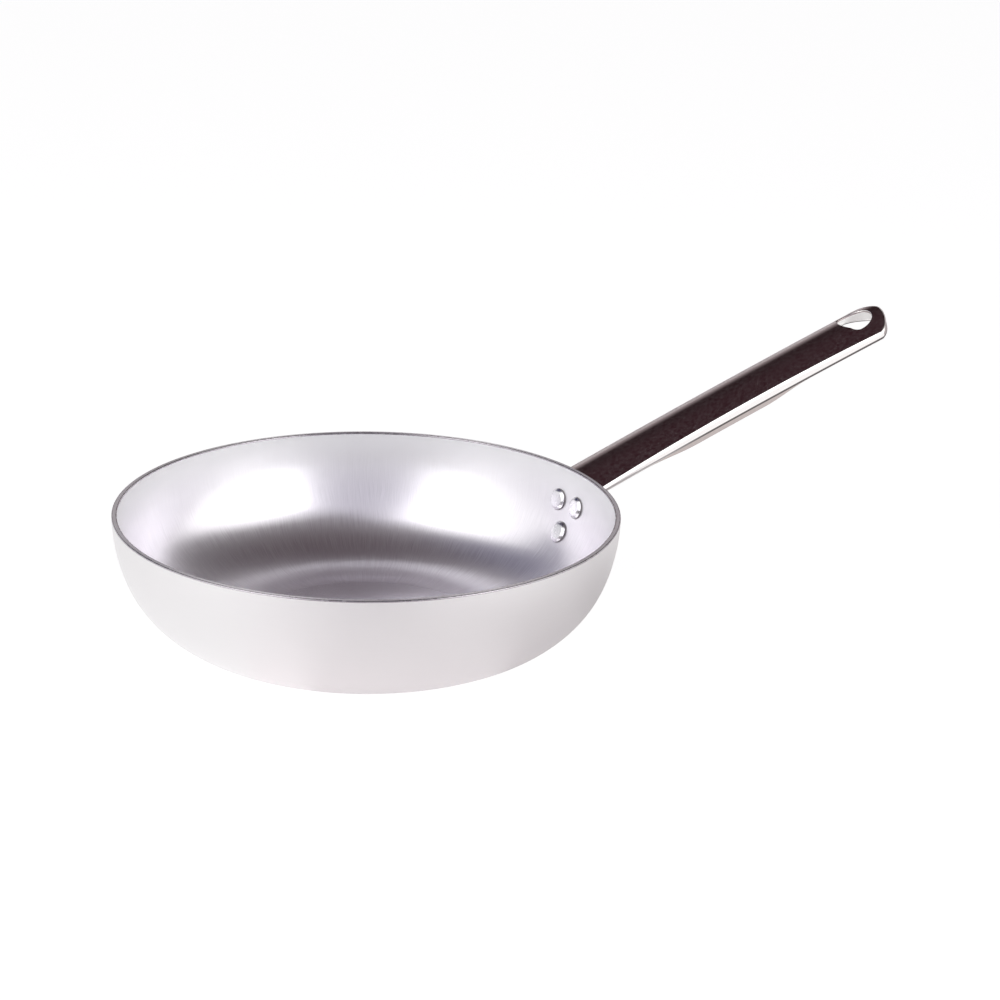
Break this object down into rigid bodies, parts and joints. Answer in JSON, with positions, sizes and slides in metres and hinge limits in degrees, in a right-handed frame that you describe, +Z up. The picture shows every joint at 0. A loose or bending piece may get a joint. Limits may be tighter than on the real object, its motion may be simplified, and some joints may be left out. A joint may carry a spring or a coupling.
{
  "type": "saute pan",
  "caption": "Open aluminium pan with a flat base, a curved bowl-like wall and a plain rim, and a long arched steel handle riveted to the wall, with a loop hole at its tip.",
  "frame": {"origin": "middle of the flat base's underside", "axes": "+Z up along the bowl's axis, +X along the handle, away from the bowl"},
  "size_m": [0.5055, 0.28, 0.1423],
  "materials": {
    "bowl_aluminium": "satin brushed",
    "handle_steel": "polished stainless",
    "rivet_aluminium": "polished"
  },
  "bodies": {
    "root": {"pan_body": "bowl_aluminium", "handle": "handle_steel", "rivet_left": "rivet_aluminium", "rivet_right": "rivet_aluminium", "rivet_low": "rivet_aluminium"}
  },
  "joints": []
}
